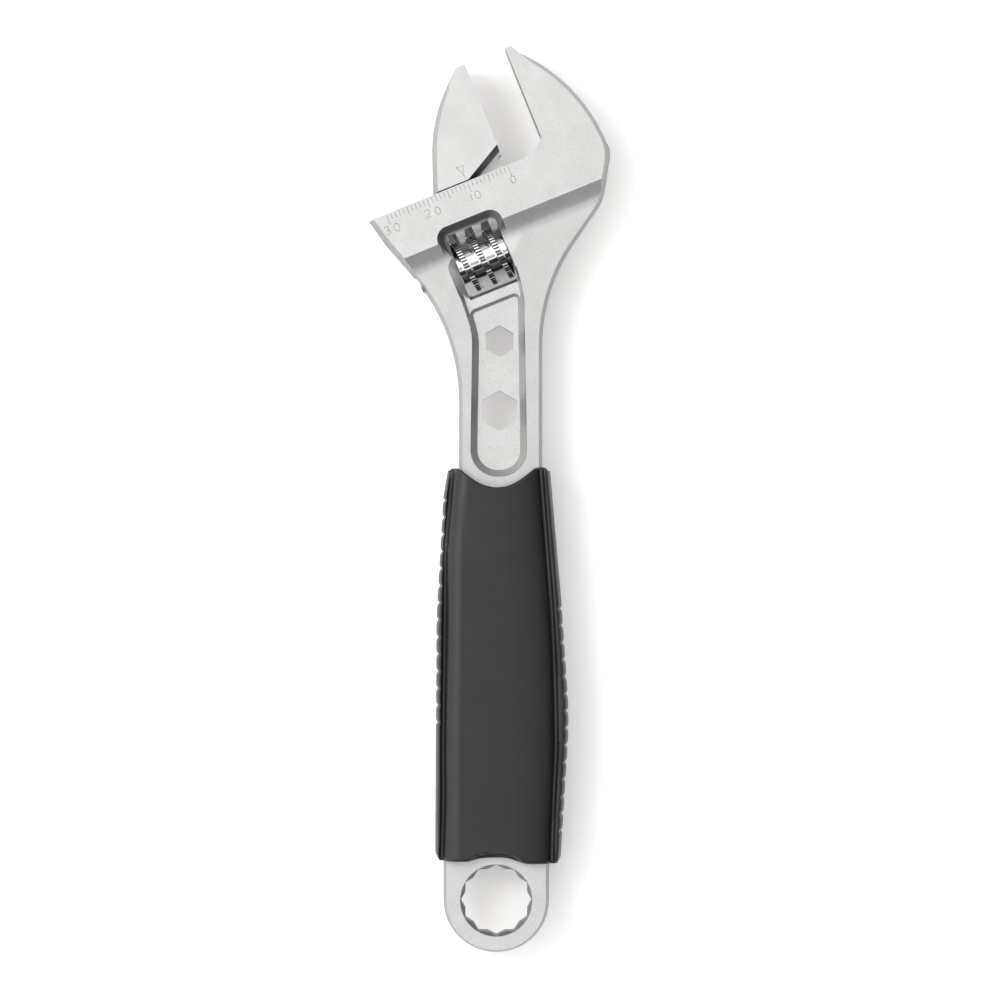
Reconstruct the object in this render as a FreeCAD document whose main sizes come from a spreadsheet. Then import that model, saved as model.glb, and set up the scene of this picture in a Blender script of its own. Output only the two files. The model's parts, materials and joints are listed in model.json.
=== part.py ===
import FreeCAD, Part
import math
import os
import re
import Sketcher

# Adjustable wrench, 200 mm class, 30 mm jaw capacity.
# Axes: +Z up out of the flat side, +Y from the ring end towards the head, +X towards the fixed jaw.
# Origin: bottom centre of the wrench's box, so the grip's underside lies on Z = 0.
# Head points are given as (u, v): u runs along the jaw's rail towards the fixed jaw, v towards the jaw
# tips, from the point where the fixed jaw's face meets the scale edge.

Vector = FreeCAD.Vector
doc = FreeCAD.newDocument("AdjustableWrench")

SIZES = [
    # where the head sits on the wrench, and how the jaws lean
    ("head_x", 12.97), ("head_y", 80.45), ("head_angle", 22.0),
    # forging thicknesses and draft
    ("head_thick", 13.3), ("neck_thick", 9.6), ("ring_thick", 8.4),
    ("shoulder_v", -11.0), ("shoulder_run", 5.5),
    # jaws
    ("jaw_height", 25.1), ("jaw_opening", 10.0), ("jaw_step", 0.15), ("back_u", 13.8),
    ("head_left", 43.9), ("seat_gap", 0.3), ("jaw_base", 17.9), ("heel_v", 5.3), ("heel_u", 9.1),
    ("heel_slope", 1.3),
    # rail, rack and worm
    ("rail_v", -8.4), ("rail_radius", 4.6), ("rail_fit", 0.06), ("web_thick", 5.0), ("web_fit", 0.1),
    ("rack_pitch", 4.0), ("rack_first", 25.95), ("rack_count", 10), ("rack_depth", 3.2),
    ("rack_backlash", 0.3), ("rack_fit", 1.7), ("flank_angle", 9.0),
    ("worm_radius", 6.35), ("worm_core", 3.7), ("thread_crest", 1.15), ("worm_end_fit", 0.15),
    # window, its frame and the handle's recess
    ("window_left", 29.0), ("window_right", 16.7), ("window_top", -9.9), ("window_gap", 0.5),
    ("window_lean", 0.8), ("window_corner", 0.9), ("frame_width", 2.1), ("recess_floor", 5.4),
    ("bridge_thick", 7.4), ("bridge_width", 2.9), ("recess_slope", 37.0), ("recess_left", -2.4),
    ("recess_right", 7.1), ("recess_end", 7.05), ("recess_radius", 4.6),
    # neck, handle core and ring end
    ("neck_left", -7.06), ("neck_right", 12.12), ("core_top", -6.0), ("ring_root", 13.8),
    ("ring_x", 1.52), ("ring_y", -91.8), ("ring_width", 24.3), ("ring_af", 14.2), ("ring_mouth", 16.6),
    ("ring_mouth_depth", 1.5),
    ("small_hex_y", 36.6), ("small_hex_af", 6.35), ("large_hex_y", 20.6), ("large_hex_af", 8.1),
    ("hex_x", 2.27),
    # worm pin and spring
    ("pin_radius", 1.5), ("pin_fit", 0.06), ("pin_end", 11.7), ("pin_head_radius", 2.2),
    ("pin_land", 4.8), ("pin_sink", 0.5), ("pin_slot", 0.7), ("flank_u", 38.9),
    ("spring_wire", 0.5), ("spring_radius", 2.15), ("spring_turns", 4.5), ("spring_pitch", 0.85),
    ("spring_fit", 0.12),
    # rubber grip
    ("grip_thick", 17.0), ("grip_fit", 0.05), ("grip_top", 7.6), ("grip_dip", 3.4),
    ("grip_end", 8.6), ("grip_edge", 4.0), ("left_wall", 5.09), ("right_wall", 6.03),
    # scalloped ribs down the grip's sides
    ("rib_pitch", 3.93), ("rib_count", 14), ("rib_depth", 0.6), ("rib_radius", 1.3),
    ("left_rib_y", 0.1), ("right_rib_y", -24.75),
]

# Places that follow from those sizes, as expressions on their names.
FOLLOWS = {
    "worm_v": "(rail_v - rail_radius + rack_depth - rack_fit - worm_radius)",
    "worm_phase": "(jaw_opening + rack_first - rack_pitch * floor((jaw_opening + rack_first - window_left)"
                  " / rack_pitch - 1))",
    "window_bottom": "(worm_v - worm_radius - window_gap)",
    "bridge_v": "(window_bottom - window_lean)",
    "bridge_foot_v": "(bridge_v - bridge_width)",
    "jaw_thick": "(head_thick - 2 * jaw_step)",
    "core_end": "(ring_y + ring_root)",
    "grip_bottom": "(ring_y + grip_end)",
    "grip_left": "(neck_left - left_wall)",
    "grip_right": "(neck_right + right_wall)",
}

sheet = doc.addObject("Spreadsheet::Sheet", "Sizes")
for row, (alias, number) in enumerate(SIZES, start=1):
    sheet.set("A%d" % row, alias)
    sheet.set("B%d" % row, str(number))
    sheet.setAlias("B%d" % row, alias)
doc.recompute()

ALIASES = {alias for alias, _ in SIZES}


def spelled(text):
    """An expression with each name in FOLLOWS written out, down to the sheet's own names."""
    text = str(text)
    while set(re.findall(r"[A-Za-z_]\w*", text)) & set(FOLLOWS):
        text = re.sub(r"[A-Za-z_]\w*", lambda word: FOLLOWS.get(word[0], word[0]), text)
    return text


def linked(text):
    """An expression as an object outside the sheet has to write it."""
    return re.sub(r"[A-Za-z_]\w*",
                  lambda word: "Sizes." + word[0] if word[0] in ALIASES else word[0],
                  spelled(text))


def value(text):
    """The number that an expression stands for."""
    return float(sheet.evalExpression(spelled(text)))


def bind(thing, **expressions):
    for name, text in expressions.items():
        thing.setExpression(name, linked(text))


def head(u, v):
    """A head point (u, v) as X and Y expressions of the wrench."""
    return (f"head_x + ({u}) * cos(head_angle) - ({v}) * sin(head_angle)",
            f"head_y + ({u}) * sin(head_angle) + ({v}) * cos(head_angle)")


def new_body(label):
    body = doc.addObject("PartDesign::Body", label)
    body.Label = label
    return body


def origin_feature(body, role):
    """The body's own origin plane or axis of that role."""
    return next(feature for feature in body.Origin.OriginFeatures if feature.Role == role)


def new_sketch(body, name, plane="XY_Plane", at=None, turn=None, axis=(0, 0, 1)):
    """A sketch on an origin plane, moved by `at` and turned by `turn` about `axis` in that plane's frame."""
    sketch = body.newObject("Sketcher::SketchObject", name)
    sketch.AttachmentSupport = [(origin_feature(body, plane), "")]
    sketch.MapMode = "FlatFace"
    if turn is not None:
        turned = FreeCAD.Rotation(Vector(*axis), value(turn))
        sketch.AttachmentOffset = FreeCAD.Placement(Vector(), turned)
        sketch.setExpression("AttachmentOffset.Rotation.Angle", linked(turn))
    for letter, text in zip("xyz", at or ()):
        sketch.setExpression("AttachmentOffset.Base." + letter, linked(text))
    return sketch


def across_rail(body, name, u="0"):
    """A sketch square to the rail at u: its x is v, its y is height above mid-thickness."""
    x, y = head(u, 0)
    return new_sketch(body, name, "YZ_Plane", at=(y, "0", x), turn="head_angle", axis=(0, 1, 0))


def outline(sketch, corners):
    """A closed outline through (x, y, radius) corners, each rounded by a tangent arc of its radius."""
    points = [Vector(value(x), value(y), 0) for x, y, _ in corners]
    count = len(points)
    arrive, leave, arcs = [], [], {}
    for i, point in enumerate(points):
        back = (points[i - 1] - point).normalize()
        ahead = (points[(i + 1) % count] - point).normalize()
        radius = value(corners[i][2])
        if radius == 0:
            arrive.append(point)
            leave.append(point)
            continue
        half = back.getAngle(ahead) / 2
        arrive.append(point + back * (radius / math.tan(half)))
        leave.append(point + ahead * (radius / math.tan(half)))
        centre = point + (back + ahead).normalize() * (radius / math.sin(half))
        left_turn = (-back).cross(ahead).z > 0
        first, last = (arrive[i], leave[i]) if left_turn else (leave[i], arrive[i])
        angles = [math.atan2((end - centre).y, (end - centre).x) for end in (first, last)]
        arcs[i] = (Part.ArcOfCircle(Part.Circle(centre, Vector(0, 0, 1), radius), *angles), left_turn)
    for i in range(count):
        sketch.addGeometry(Part.LineSegment(leave[i], arrive[(i + 1) % count]), False)
    base = sketch.GeometryCount - count
    rules, sizes = [], []

    def size(kind, places, text):
        sizes.append((len(rules), text))
        rules.append(Sketcher.Constraint(kind, *places, value(text)))

    for i, (x, y, radius) in enumerate(corners):
        before, after = base + (i - 1) % count, base + i
        if i not in arcs:
            rules.append(Sketcher.Constraint("Coincident", before, 2, after, 1))
            size("DistanceX", (-1, 1, after, 1), x)
            size("DistanceY", (-1, 1, after, 1), y)
            continue
        arc, left_turn = arcs[i]
        bend = sketch.addGeometry(arc, False)
        corner = sketch.addGeometry(Part.Point(points[i]), True)
        first, last = (1, 2) if left_turn else (2, 1)
        rules.append(Sketcher.Constraint("Tangent", before, 2, bend, first))
        rules.append(Sketcher.Constraint("Tangent", bend, last, after, 1))
        rules.append(Sketcher.Constraint("PointOnObject", corner, 1, before))
        rules.append(Sketcher.Constraint("PointOnObject", corner, 1, after))
        size("Radius", (bend,), radius)
        size("DistanceX", (-1, 1, corner, 1), x)
        size("DistanceY", (-1, 1, corner, 1), y)
    start = sketch.ConstraintCount
    sketch.addConstraint(rules)
    for index, text in sizes:
        sketch.setExpression("Constraints[%d]" % (start + index), linked(text))
    return sketch


def circle(sketch, x, y, radius):
    centre = Vector(value(x), value(y), 0)
    ring = sketch.addGeometry(Part.Circle(centre, Vector(0, 0, 1), value(radius)), False)
    for kind, places, text in (("Radius", (ring,), radius),
                               ("DistanceX", (-1, 1, ring, 3), x),
                               ("DistanceY", (-1, 1, ring, 3), y)):
        index = sketch.addConstraint(Sketcher.Constraint(kind, *places, value(text)))
        sketch.setExpression("Constraints[%d]" % index, linked(text))
    return sketch


def rectangle(sketch, left, bottom, right, top, radius="0"):
    return outline(sketch, [(left, bottom, radius), (right, bottom, radius),
                            (right, top, radius), (left, top, radius)])


def polygon(sketch, x, y, across_flats, turn):
    """A hexagon with a corner at `turn` degrees."""
    reach = f"({across_flats}) / 2 / cos(30)"
    angles = [turn + 60 * step for step in range(6)]
    return outline(sketch, [(f"{x} + {reach} * cos({angle})", f"{y} + {reach} * sin({angle})", "0")
                            for angle in angles])


def feature(body, kind, name, sketch, taper=None, far=None, lean=None, middle=False, flip=False, **sizes):
    """A pad or pocket on a sketch; `far` runs it the other way too, `lean` tilts its path towards +x."""
    made = body.newObject("PartDesign::" + kind, name)
    made.Profile = sketch
    made.Reversed = flip
    made.SideType = "Symmetric" if middle else "Two sides" if far is not None else "One side"
    if taper is not None:
        bind(made, TaperAngle=taper)
    if far is not None:
        bind(made, Length2=far)
    if lean is not None:
        made.UseCustomVector = True
        made.Direction = Vector(value(lean), 0, 1)
    bind(made, **sizes)
    sketch.Visibility = False
    before = body.Shape.Volume if body.Shape and not body.Shape.isNull() else 0
    doc.recompute()
    changed = made.Shape.Volume - before
    if (changed >= 0) if kind == "Pocket" else (changed <= 0):
        raise RuntimeError(f"{body.Label}.{name} changes the volume by {changed:.3f} mm3")
    return made


def mirror(body, name, originals, role="XY_Plane"):
    made = body.newObject("PartDesign::Mirrored", name)
    made.Originals = originals
    made.MirrorPlane = (origin_feature(body, role), [""])
    body.Tip = made
    doc.recompute()
    return made


def repeat(body, name, originals, direction, length, count):
    made = body.newObject("PartDesign::LinearPattern", name)
    made.Originals = originals
    made.Direction = direction
    bind(made, Length=length, Occurrences=count)
    body.Tip = made
    doc.recompute()
    return made


def place_on_head(body, u, v):
    """Sets a piece drawn in the head's (u, v) down at that head point, turned with the head."""
    x, y = head(u, v)
    body.setExpression("Placement.Base.x", linked(x))
    body.setExpression("Placement.Base.y", linked(y))
    body.setExpression("Placement.Rotation.Yaw", linked("head_angle"))


# ---------------------------------------------------------------- wrench body: one forging
PAST = "60"          # runs past the part on both sides


def core_side(gap):
    """Handle core under the grip: (right side top, right side end, left side end, left side top)."""
    return [
        (f"neck_right + {gap}", "core_top", "60"),
        (f"ring_x + ring_width / 2 + {gap}", "core_end", "40"),
        (f"ring_x - ring_width / 2 - {gap}", "core_end", "40"),
        (f"neck_left - {gap}", "core_top", "60"),
    ]


def make_wrench_body():
    body = new_body("wrench_body")
    right_top, right_end, left_end, left_top = core_side("0")
    ring_foot = "ring_y - ring_width / 2"
    ring_corner = "ring_width / 2 - 0.1"
    back = "back_u"
    forging = outline(new_sketch(body, "ForgingOutline"), [
        (*head("-1", "jaw_height"), "0"),
        (*head("-1", "2"), "0"),
        (*head("-head_left", "2"), "0"),
        (*head("-head_left", "0"), "0"),
        (*head("-42.4", "-6"), "25"),
        ("neck_left", "39.1", "44"),
        left_top,
        left_end,
        ("ring_x - ring_width / 2", ring_foot, ring_corner),
        ("ring_x + ring_width / 2", ring_foot, ring_corner),
        right_end,
        right_top,
        ("neck_right", "48.5", "42"),
        (*head(f"{back} - 5.9", "-15.6"), "10"),
        (*head(back, "-5.7"), "7"),
        (*head(f"{back} - 0.6", "11.1"), "39"),
        (*head("1.3", "jaw_height"), "0.8"),
    ])
    feature(body, "Pad", "Forging", forging, middle=True, Length="head_thick")
    throat = outline(new_sketch(body, "ThroatOutline"), [
        (*head("0", "2.7"), "1"),
        (*head("0", f"jaw_height + {PAST}"), "0"),
        (*head(f"-head_left - {PAST}", f"jaw_height + {PAST}"), "0"),
        (*head(f"-head_left - {PAST}", "0"), "0"),
        (*head("-4.9", "0"), "2.5"),
    ])
    feature(body, "Pocket", "Throat", throat, middle=True, Length=PAST)

    # the head's flat falls to the neck's through a concave sweep along a line beside the rail
    sweep_radius = "((shoulder_run ^ 2 + ((head_thick - neck_thick) / 2) ^ 2) / (head_thick - neck_thick))"
    shoulder = outline(across_rail(body, "ShoulderProfile"), [
        ("shoulder_v", "head_thick / 2", "0"),
        ("shoulder_v - shoulder_run / 2", "neck_thick / 2", f"{sweep_radius} * 0.8"),
        ("shoulder_v - 300", "neck_thick / 2", "0"),
        ("shoulder_v - 300", "head_thick", "0"),
        ("shoulder_v", "head_thick", "0"),
    ])
    shoulder = feature(body, "Pocket", "Shoulder", shoulder, middle=True, Length="400")
    ring_step = outline(new_sketch(body, "RingProfile", "YZ_Plane"), [
        ("core_end", "neck_thick / 2", "0"),
        ("core_end - 5", "ring_thick / 2", "5"),
        ("ring_y - ring_width", "ring_thick / 2", "0"),
        ("ring_y - ring_width", "head_thick", "0"),
        ("core_end", "head_thick", "0"),
    ])
    ring_step = feature(body, "Pocket", "RingThinning", ring_step, middle=True, Length="200")

    # recess down the handle, with a cross bridge between it and the worm's window
    step = "(bridge_thick - recess_floor) / 2 * tan(recess_slope)"
    shallow = outline(new_sketch(body, "RecessOutline", at=("0", "0", "bridge_thick / 2")), [
        (*head("-window_left - 1", "bridge_v + 2.5"), "0"),
        (f"recess_left - {step}", "38.5", "15"),
        (f"recess_left - 0.5 - {step}", f"recess_end - {step}", f"recess_radius + {step}"),
        (f"recess_right + {step}", f"recess_end - {step}", f"recess_radius + {step}"),
        (*head(f"-window_right - 1.8 + {step}", "bridge_foot_v"), "20"),
        (*head("-window_right - 0.5", "bridge_v + 2.5"), "0"),
    ])
    shallow = feature(body, "Pocket", "Recess", shallow, taper="recess_slope", flip=True,
                      Length="head_thick / 2")
    floor = outline(new_sketch(body, "FloorOutline", at=("0", "0", "recess_floor / 2")), [
        (*head("-window_left - 0.7", "bridge_foot_v"), "0.8"),
        ("recess_left", "37.5", "15"),
        ("recess_left - 0.5", "recess_end", "recess_radius"),
        ("recess_right", "recess_end", "recess_radius"),
        (*head("-window_right - 1.8", "bridge_foot_v"), "0.8"),
    ])
    floor = feature(body, "Pocket", "Floor", floor, taper="recess_slope", flip=True,
                    Length="(bridge_thick - recess_floor) / 2 + 0.05")

    # sloped frame round the window: one pocket in the head's flat, one in the neck's
    upper = rectangle(new_sketch(body, "FrameHead", at=(*head(0, 0), "head_thick / 2 - frame_width"),
                                 turn="head_angle"),
                      "-window_left", "worm_v + 2", "-window_right - 0.6", "window_top", "window_corner")
    upper = feature(body, "Pocket", "FrameHeadCut", upper, taper="45", flip=True, Length="frame_width + 0.5")
    lower = rectangle(new_sketch(body, "FrameNeck", at=(*head(0, 0), "neck_thick / 2 - frame_width"),
                                 turn="head_angle"),
                      "-window_left", "bridge_v + 1.1", "-window_right - 1.9", "worm_v + 1", "window_corner")
    lower = feature(body, "Pocket", "FrameNeckCut", lower, taper="45", flip=True, Length="frame_width + 1")
    lean = "atan((window_bottom - bridge_v) / (bridge_thick / 2))"
    foot = rectangle(new_sketch(body, "WindowFoot", at=(*head(0, 0), "0"), turn="head_angle"),
                     "-window_left - bridge_v + window_bottom", "window_bottom",
                     "-window_right + bridge_v - window_bottom", "worm_v")
    foot = feature(body, "Pocket", "WindowFootCut", foot, taper=lean, flip=True, Length="bridge_thick / 2")
    mirror(body, "Underside", [shoulder, ring_step, shallow, floor, upper, lower, foot])

    window = rectangle(new_sketch(body, "WindowOutline", at=(*head(0, 0), "0"), turn="head_angle"),
                       "-window_left", "window_bottom", "-window_right", "window_top", "window_corner")
    feature(body, "Pocket", "Window", window, middle=True, Length=PAST)
    bore = circle(across_rail(body, "RailBoreCircle"), "rail_v", "0", "rail_radius + rail_fit")
    feature(body, "Pocket", "RailBore", bore, middle=True, Length="150")
    slot = rectangle(new_sketch(body, "WebSlotOutline", at=(*head(0, 0), "0"), turn="head_angle"),
                     f"-head_left - {PAST}", "rail_v", "0.4", "heel_v - 1.2")
    feature(body, "Pocket", "WebSlot", slot, middle=True, Length="web_thick + 2 * web_fit")
    hole = circle(across_rail(body, "PinHoleCircle", "-pin_end"), "worm_v", "0", "pin_radius + pin_fit")
    feature(body, "Pocket", "PinHole", hole, Length=PAST)
    mouth = circle(across_rail(body, "PinHeadCircle", "-window_left - pin_land"), "worm_v", "0",
                   "pin_head_radius + pin_fit")
    feature(body, "Pocket", "PinHeadBore", mouth, Length=PAST)

    for name, x, y, flats, turn in (("SmallHex", "hex_x", "small_hex_y", "small_hex_af", 90),
                                    ("LargeHex", "hex_x", "large_hex_y", "large_hex_af", 90),
                                    ("RingPoints", "ring_x", "ring_y", "ring_af", 0),
                                    ("RingPointsTurned", "ring_x", "ring_y", "ring_af", 30)):
        hexagon = polygon(new_sketch(body, name + "Outline"), x, y, flats, turn)
        feature(body, "Pocket", name, hexagon, middle=True, Length=PAST)
    mouth = circle(new_sketch(body, "RingMouthCircle", at=("0", "0", "ring_thick / 2")),
                   "ring_x", "ring_y", "ring_mouth / 2")
    mouth = feature(body, "Pocket", "RingMouth", mouth, taper="-30", Length="ring_mouth_depth")
    mirror(body, "RingMouthUnder", [mouth])
    return body


# ---------------------------------------------------------------- movable jaw, in the jaw's own (u, v)
def make_movable_jaw():
    body = new_body("movable_jaw")
    block = outline(new_sketch(body, "JawOutline"), [
        ("0", "jaw_height", "0"),
        ("-2.4", "jaw_height", "0.8"),
        ("-11.6", "17.2", "36"),
        ("-jaw_base", "seat_gap", "0"),
        ("0", "seat_gap", "0"),
    ])
    feature(body, "Pad", "JawBlock", block, middle=True, Length="jaw_thick")

    # the heel is cut away on both sides of the web, along a slope that leans out towards the web
    rise = "(heel_v - seat_gap) / heel_u"
    drop = f"heel_slope * sqrt(1 + ({rise}) ^ 2)"
    heel = outline(new_sketch(body, "HeelOutline", at=("0", "0", "web_thick / 2")), [
        ("-heel_u - 4", f"seat_gap - 4 * {rise} - {drop}", "0"),
        ("-heel_u - 4", "rail_v", "0"),
        ("7", "rail_v", "0"),
        ("7", f"heel_v + 7 * {rise} - {drop}", "0"),
    ])
    heel_taper = "atan(heel_slope / ((jaw_thick - web_thick) / 2))"
    heel = feature(body, "Pocket", "Heel", heel, taper=heel_taper, flip=True, Length="jaw_thick / 2")
    mirror(body, "HeelUnder", [heel])
    web = outline(new_sketch(body, "WebOutline"), [
        ("-jaw_base + 0.4", "rail_v", "0"),
        ("-0.1", "rail_v", "0"),
        ("-0.1", "heel_v + 1", "0"),
        ("-jaw_base + 0.4", "seat_gap + 1", "0"),
    ])
    feature(body, "Pad", "Web", web, middle=True, Length="web_thick")
    relief = circle(new_sketch(body, "ReliefCircle"), "0", "heel_v - 3.8", "1.3")
    feature(body, "Pocket", "Relief", relief, middle=True, Length="web_thick + 1")

    # round rail with its rack: grooves leaning with the worm's thread, a groove at each end
    rail = circle(new_sketch(body, "RailCircle", "YZ_Plane", at=("0", "0", "-rack_first")), "rail_v", "0",
                  "rail_radius")
    feature(body, "Pad", "Rail", rail, Length="(rack_count - 1) * rack_pitch")
    root = "rail_v - rail_radius + rack_depth"
    tip = "rail_v - rail_radius - 1"
    at_root = "(thread_crest / 2 + rack_backlash)"
    at_tip = f"({at_root} + (rack_depth + 1) * tan(flank_angle))"
    groove = outline(new_sketch(body, "RackGroove"), [
        (f"-rack_first - {at_root}", root, "0.2"),
        (f"-rack_first - {at_tip}", tip, "0"),
        (f"-rack_first + {at_tip}", tip, "0"),
        (f"-rack_first + {at_root}", root, "0.2"),
    ])
    lead = "(rack_pitch / (2 * pi * (rail_v - rail_radius - worm_v)))"
    groove = feature(body, "Pocket", "RackGrooveCut", groove, far="rail_radius + 2", Length="rail_radius + 2",
                     lean=lead)
    repeat(body, "Rack", [groove], (origin_feature(body, "X_Axis"), [""]),
           "(rack_count - 1) * rack_pitch", "rack_count")
    place_on_head(body, "-jaw_opening", "0")
    return body


# ---------------------------------------------------------------- worm, its pin and its spring, along +X
def make_worm():
    body = new_body("worm")
    length = "(window_left - window_right - 2 * worm_end_fit)"
    left = "(-window_left + worm_end_fit)"
    core = circle(new_sketch(body, "WormCoreCircle", "YZ_Plane", at=("0", "0", left)), "0", "0", "worm_core")
    feature(body, "Pad", "WormCore", core, Length=length)
    foot = "worm_core - 0.3"
    half = "(thread_crest / 2)"
    half_foot = f"({half} + (worm_radius - worm_core + 0.3) * tan(flank_angle))"
    start = "-worm_phase"
    profile = outline(new_sketch(body, "ThreadProfile"), [
        (f"{start} - {half_foot}", foot, "0"),
        (f"{start} + {half_foot}", foot, "0"),
        (f"{start} + {half}", "worm_radius", "0"),
        (f"{start} - {half}", "worm_radius", "0"),
    ])
    thread = body.newObject("PartDesign::AdditiveHelix", "Thread")
    thread.Profile = profile
    thread.ReferenceAxis = (origin_feature(body, "X_Axis"), [""])
    thread.Mode = "pitch-turns-angle"
    bind(thread, Pitch="rack_pitch", Turns=f"ceil({length} / rack_pitch) + 3")
    doc.recompute()
    for name, at, flip in (("LeftTrim", left, True), ("RightTrim", f"{left} + {length}", False)):
        trim = circle(new_sketch(body, name + "Circle", "YZ_Plane", at=("0", "0", at)),
                      "0", "0", "worm_radius + 2")
        feature(body, "Pocket", name, trim, flip=not flip, Length="5 * rack_pitch")
    bore = circle(new_sketch(body, "WormBoreCircle", "YZ_Plane", at=("0", "0", left)), "0", "0",
                  "pin_radius + pin_fit")
    feature(body, "Pocket", "WormBore", bore, flip=True, Length=length)
    pocket = circle(new_sketch(body, "SpringPocketCircle", "YZ_Plane", at=("0", "0", left)), "0", "0",
                    "spring_radius + spring_wire / 2 + spring_fit")
    feature(body, "Pocket", "SpringPocket", pocket, flip=True,
            Length="spring_turns * spring_pitch + spring_wire + spring_fit - worm_end_fit")
    place_on_head(body, "0", "worm_v")
    return body


def make_worm_pin():
    body = new_body("worm_pin")
    outer = "(-flank_u + pin_sink)"
    shank = circle(new_sketch(body, "ShankCircle", "YZ_Plane", at=("0", "0", outer)), "0", "0", "pin_radius")
    feature(body, "Pad", "Shank", shank, Length="flank_u - pin_sink - pin_end - 0.3")
    cap = circle(new_sketch(body, "PinHeadCircle", "YZ_Plane", at=("0", "0", outer)),
                 "0", "0", "pin_head_radius")
    feature(body, "Pad", "PinHead", cap, Length="flank_u - pin_sink - window_left - pin_land - pin_fit")
    slot = rectangle(new_sketch(body, "SlotOutline", "YZ_Plane", at=("0", "0", outer)),
                     "-pin_head_radius - 1", "-pin_slot / 2", "pin_head_radius + 1", "pin_slot / 2")
    feature(body, "Pocket", "DriverSlot", slot, flip=True, Length="pin_slot * 1.3")
    place_on_head(body, "0", "worm_v")
    return body


def make_worm_spring():
    body = new_body("worm_spring")
    wire = circle(new_sketch(body, "WireCircle"), "-window_left + spring_wire / 2", "spring_radius",
                  "spring_wire / 2")
    coil = body.newObject("PartDesign::AdditiveHelix", "Coil")
    coil.Profile = wire
    coil.ReferenceAxis = (origin_feature(body, "X_Axis"), [""])
    coil.Mode = "pitch-turns-angle"
    bind(coil, Pitch="spring_pitch", Turns="spring_turns")
    doc.recompute()
    place_on_head(body, "0", "worm_v")
    return body


# ---------------------------------------------------------------- rubber grip, pushed over the ring end
def make_grip_sleeve():
    body = new_body("grip_sleeve")
    grip = outline(new_sketch(body, "GripOutline"), [
        ("neck_left - 2.1", "grip_top", "0"),
        ("neck_left + 0.6", "grip_top", "1.2"),
        ("neck_left + 4.0", "grip_dip", "5"),
        ("neck_right - 5.4", "grip_dip", "6"),
        ("neck_right - 1.8", "grip_top", "1.2"),
        ("neck_right + 1.6", "grip_top", "0"),
        ("neck_right + 4.4", "right_rib_y + 0.15", "60"),
        ("grip_right + 0.2", "right_rib_y - 6.7 * rib_pitch", "100"),
        ("ring_x + ring_width / 2 + 2.5", "grip_bottom", "0"),
        ("ring_x - ring_width / 2 - 1.9", "grip_bottom", "0"),
        ("grip_left - 0.1", "left_rib_y - 7.3 * rib_pitch", "100"),
        ("neck_left - 3.6", "left_rib_y - 1.1", "20"),
    ])
    pad = feature(body, "Pad", "Grip", grip, middle=True, Length="grip_thick")
    rims = [f"Edge{i + 1}" for i, edge in enumerate(pad.Shape.Edges)
            if abs(abs(edge.CenterOfMass.z) - value("grip_thick / 2")) < 1e-6 and on_grip_side(edge)]
    rounded = body.newObject("PartDesign::Fillet", "GripEdges")
    rounded.Base = (pad, rims)
    bind(rounded, Radius="grip_edge")
    doc.recompute()
    core = [("neck_right + grip_fit", "grip_top + 5", "0")] + core_side("grip_fit") + [
        ("neck_left - grip_fit", "grip_top + 5", "0")]
    core[3:3] = [("ring_x + ring_width / 2 + grip_fit", "grip_bottom - 5", "0"),
                 ("ring_x - ring_width / 2 - grip_fit", "grip_bottom - 5", "0")]
    cavity = outline(new_sketch(body, "CavityOutline"), core)
    feature(body, "Pocket", "Cavity", cavity, middle=True, Length="neck_thick + 2 * grip_fit")
    last = int(value("rib_count")) - 1
    for side, sign, first, crest in (
            ("Left", -1, "left_rib_y",
             "(neck_left - 3.6) + (grip_left - neck_left + 3.6) * sqrt({i} / {last})"),
            ("Right", 1, "right_rib_y",
             "grip_right - 1.68 * (({i} - 0.52 * {last}) / (0.52 * {last})) ^ 2")):
        grooves = new_sketch(body, side + "RibCircles")
        for i in range(last + 1):
            place = crest.format(i=i, last=last)
            circle(grooves, f"{place} + {sign} * (rib_radius - rib_depth)",
                   f"{first} - {i} * rib_pitch", "rib_radius")
        feature(body, "Pocket", side + "Ribs", grooves, middle=True, Length=PAST)
    return body


def on_grip_side(edge):
    """The long edges down the grip's two sides, not those of its open ends."""
    middle = edge.CenterOfMass
    beside = middle.x < value("neck_left - 1.5") or middle.x > value("neck_right + 1.5")
    return beside and edge.BoundBox.YMin < edge.BoundBox.YMax - 0.01


MAKERS = (make_wrench_body, make_movable_jaw, make_worm, make_worm_pin, make_worm_spring, make_grip_sleeve)
bodies = []
for maker in MAKERS:
    made = maker()
    made.setExpression("Placement.Base.z", "Sizes.grip_thick / 2")
    bodies.append(made)
doc.recompute()

for thing in doc.Objects:
    if {"Invalid", "Error"} & set(thing.State):
        raise RuntimeError(f"{thing.Name} failed: {thing.State}")
for made in bodies:
    if made.Shape.isNull() or not made.Shape.isValid():
        raise RuntimeError(f"{made.Label} has no valid shape")
    if len(made.Shape.Solids) != 1:
        raise RuntimeError(f"{made.Label} is {len(made.Shape.Solids)} solids")

os.makedirs("parts", exist_ok=True)
for made in bodies:
    made.Shape.exportStep(f"parts/{made.Label}.step")
    print(f"{made.Label}: {made.Shape.Volume:.0f} mm3, {len(made.Shape.Faces)} faces")
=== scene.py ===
import json
import math

import bmesh
import bpy
from mathutils import Matrix, Vector


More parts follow.
